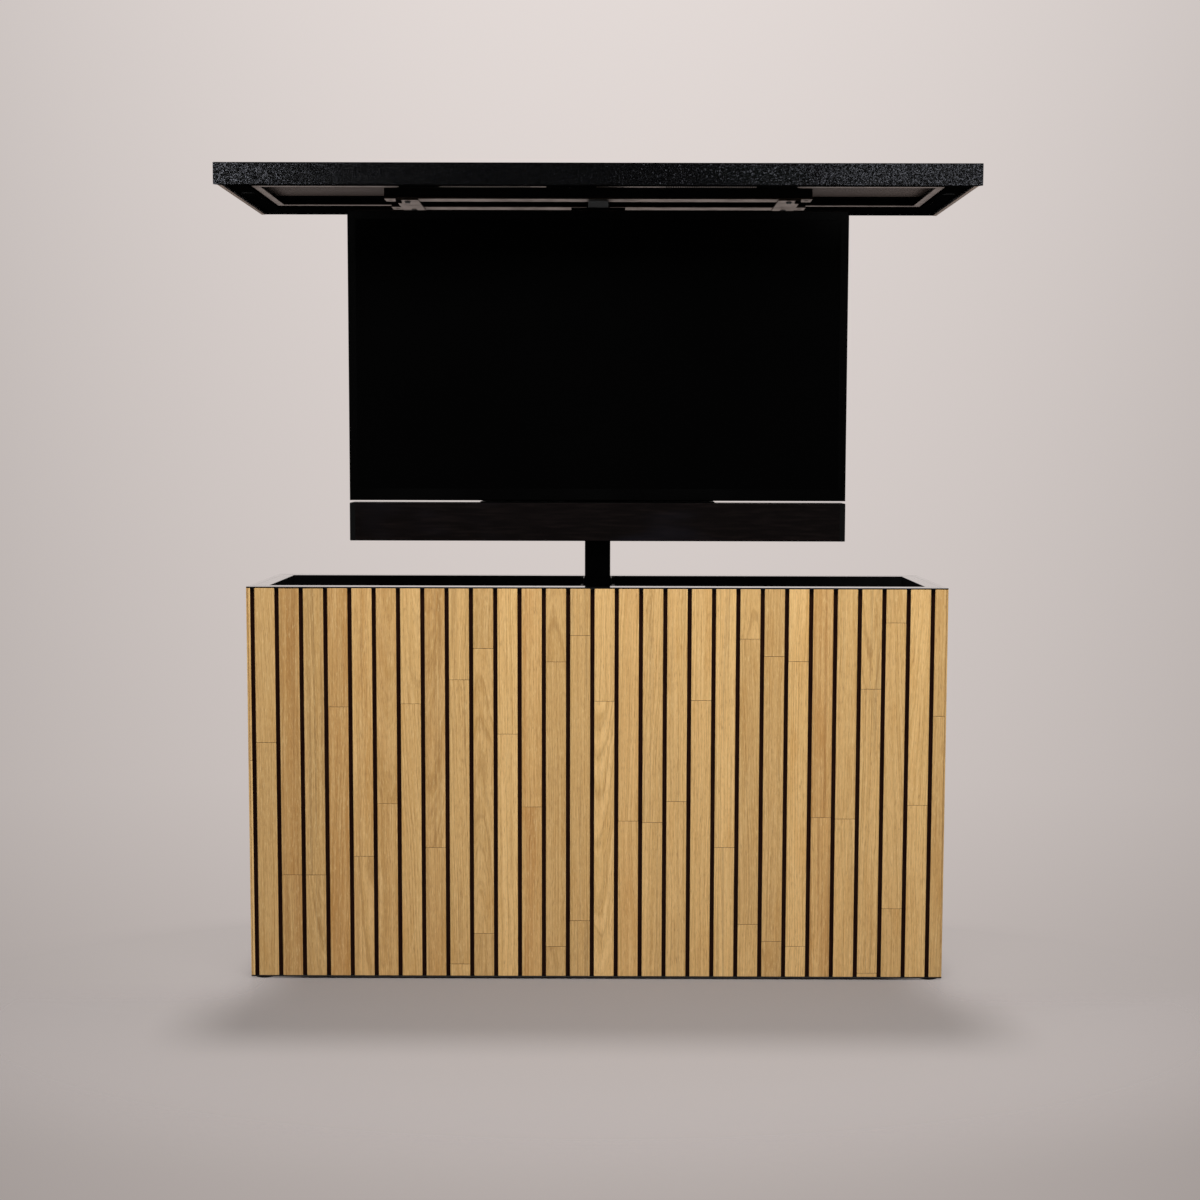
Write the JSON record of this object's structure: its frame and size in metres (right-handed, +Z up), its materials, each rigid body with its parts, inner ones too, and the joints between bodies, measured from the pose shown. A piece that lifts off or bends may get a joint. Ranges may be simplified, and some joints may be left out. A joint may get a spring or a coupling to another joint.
{
  "type": "tv lift cabinet",
  "caption": "Slatted oak cabinet with a telescopic column that raises a television, a soundbar and the heavy black lid out of its open top.",
  "frame": {"origin": "on the floor under the middle of the cabinet", "axes": "+Z up, +X to the right seen from the front, the front and the screen face -Y"},
  "size_m": [1.612, 0.532, 1.764],
  "materials": {
    "oak": "satin",
    "backer": "matte",
    "floor_board": "matte",
    "edge_trim": "satin",
    "frame_aluminium": "satin",
    "rubber": "matte",
    "black_steel": "satin",
    "bright_steel": "satin",
    "black_plastic": "matte",
    "motor_paint": "satin",
    "bezel_gloss": "gloss",
    "screen_glass": "polished",
    "display_panel": "matte",
    "grille_black": "matte",
    "granite_black": "satin",
    "underside_board": "matte",
    "light_trim": "satin",
    "rim_plate": "matte"
  },
  "bodies": {
    "cabinet": {"access_panel_screws": "bright_steel", "access_slats": "oak", "base_frame": "frame_aluminium", "base_plate_bolts": "bright_steel", "bottom_trims": "edge_trim", "cable_grommet": "rubber", "column_gussets": "black_steel", "column_stay": "black_steel", "control_box": "black_plastic", "corner_trims": "edge_trim", "floor_panel": "floor_board", "frame_posts": "frame_aluminium", "front_backer": "backer", "front_slats": "oak", "gear_motor": "motor_paint", "left_backer": "backer", "left_slats": "oak", "levelling_feet": "rubber", "lift_base_plate": "black_steel", "outer_collar": "black_plastic", "outer_column": "black_steel", "rear_access_panel": "backer", "rear_backer": "backer", "rear_slats": "oak", "right_backer": "backer", "right_slats": "oak", "top_frame": "frame_aluminium", "top_trims": "edge_trim"},
    "middle_stage": {"middle_tube": "black_steel", "middle_collar": "black_plastic", "middle_glides": "black_plastic"},
    "lift_carriage": {"inner_tube": "black_steel", "inner_glides": "black_plastic", "head_plate": "black_steel", "lid_beams": "black_steel", "flat_bars": "bright_steel", "cross_plates": "bright_steel", "carriage_bolts": "bright_steel", "lid_packers": "black_plastic", "hanger_strap": "bright_steel", "mount_upright": "black_steel", "mount_rails": "black_steel", "vesa_plate": "black_steel", "vesa_screws": "bright_steel", "tv_bezel": "bezel_gloss", "tv_screen": "screen_glass", "tv_display_panel": "display_panel", "tv_housing": "black_plastic", "tv_rear_cover": "black_plastic", "soundbar_body": "black_plastic", "soundbar_grille": "grille_black", "soundbar_end_caps": "black_plastic", "soundbar_bracket": "black_steel", "lid_top": "granite_black", "lid_fascias": "granite_black", "lid_subframe": "frame_aluminium", "underside_panel": "underside_board", "recess_trim": "light_trim", "rim_plates": "rim_plate", "lid_gasket": "rubber"}
  },
  "joints": [
    {"name": "lift_slide", "type": "slide", "parent": "cabinet", "child": "lift_carriage", "axis": [0, 0, 1], "range_m": [-0.857, 0]},
    {"name": "middle_stage_slide", "type": "slide", "parent": "cabinet", "child": "middle_stage", "axis": [0, 0, 1], "range_m": [-0.4285, 0]}
  ],
  "couplings": [
    {"joint": "middle_stage_slide", "follows": "lift_slide", "ratio": 0.5}
  ]
}
